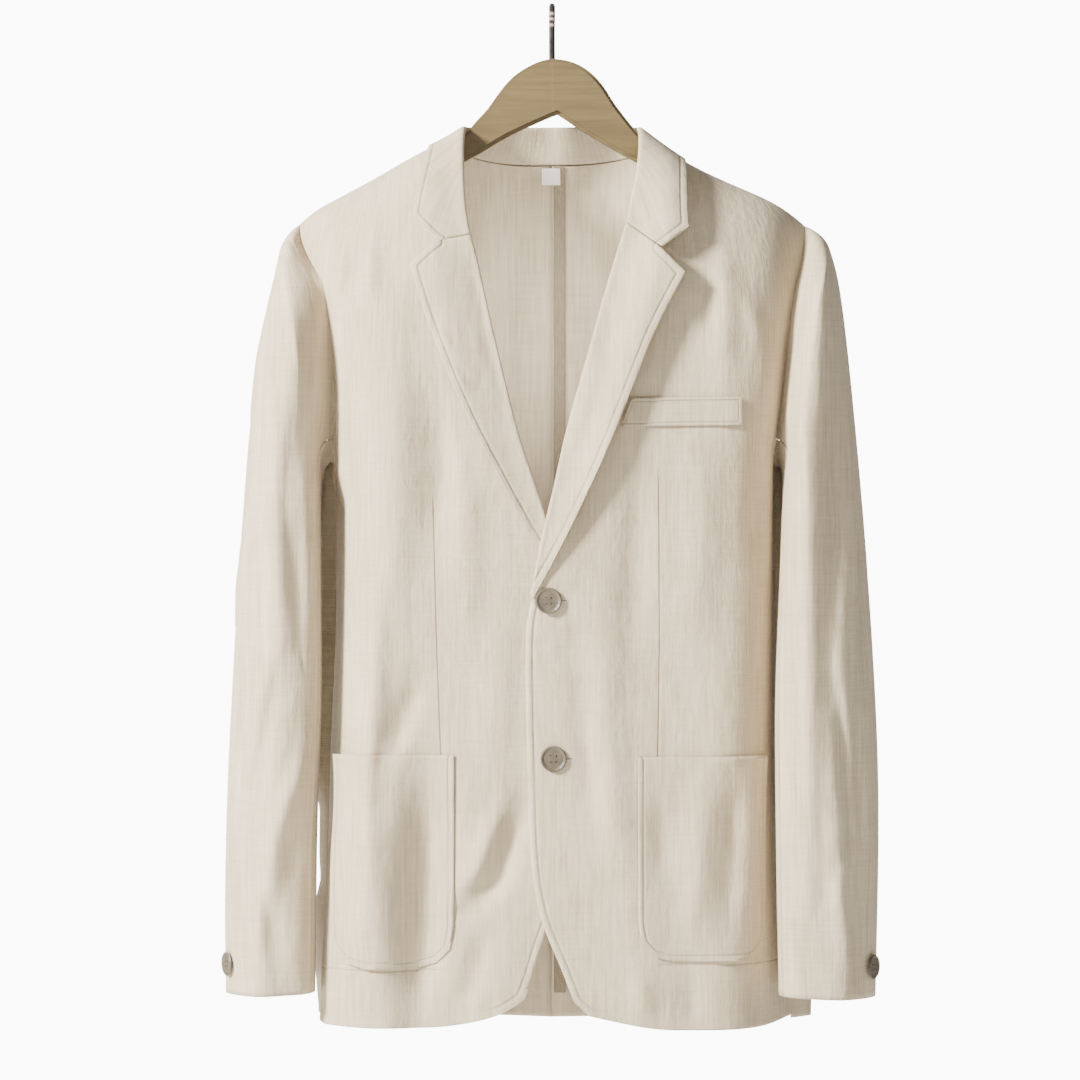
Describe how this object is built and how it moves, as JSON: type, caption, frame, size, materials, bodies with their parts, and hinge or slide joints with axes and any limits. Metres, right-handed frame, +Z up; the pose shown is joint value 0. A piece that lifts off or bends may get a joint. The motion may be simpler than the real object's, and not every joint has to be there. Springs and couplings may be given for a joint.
{
  "type": "single breasted linen blazer on a wooden hanger",
  "caption": "Light beige single breasted linen jacket with notch lapels and patch pockets, buttoned and hung on a flat wooden hanger with a metal hook.",
  "frame": {"origin": "inside top of the hanger's hook, where it bears on the rail that it hangs from", "axes": "+Z up, -Y is the jacket's front, +X is the wearer's left, which is the viewer's right"},
  "size_m": [0.5727, 0.1643, 0.8993],
  "materials": {
    "linen": "light beige plain-weave linen with fine slubs, matt",
    "binding": "bound seam allowance in the same linen",
    "label": "bare white woven tape",
    "button": "taupe resin with a soft sheen",
    "wood": "light brown beech, clear satin lacquer",
    "hook": "dark blackened steel wire"
  },
  "bodies": {
    "root": {"front_left": "linen", "front_right": "linen", "back_left": "linen", "back_right": "linen", "top_sleeve_left": "linen", "top_sleeve_right": "linen", "under_sleeve_left": "linen", "under_sleeve_right": "linen", "collar": "linen", "lapel_left": "linen", "lapel_right": "linen", "pocket_left": "linen", "pocket_right": "linen", "breast_pocket": "linen", "back_seam_binding": "binding", "neck_label": "label", "button_upper": "button", "button_lower": "button", "cuff_button_left": "button", "cuff_button_right": "button", "hanger_left": "wood", "hanger_right": "wood", "hanger_hook": "hook"}
  },
  "joints": []
}
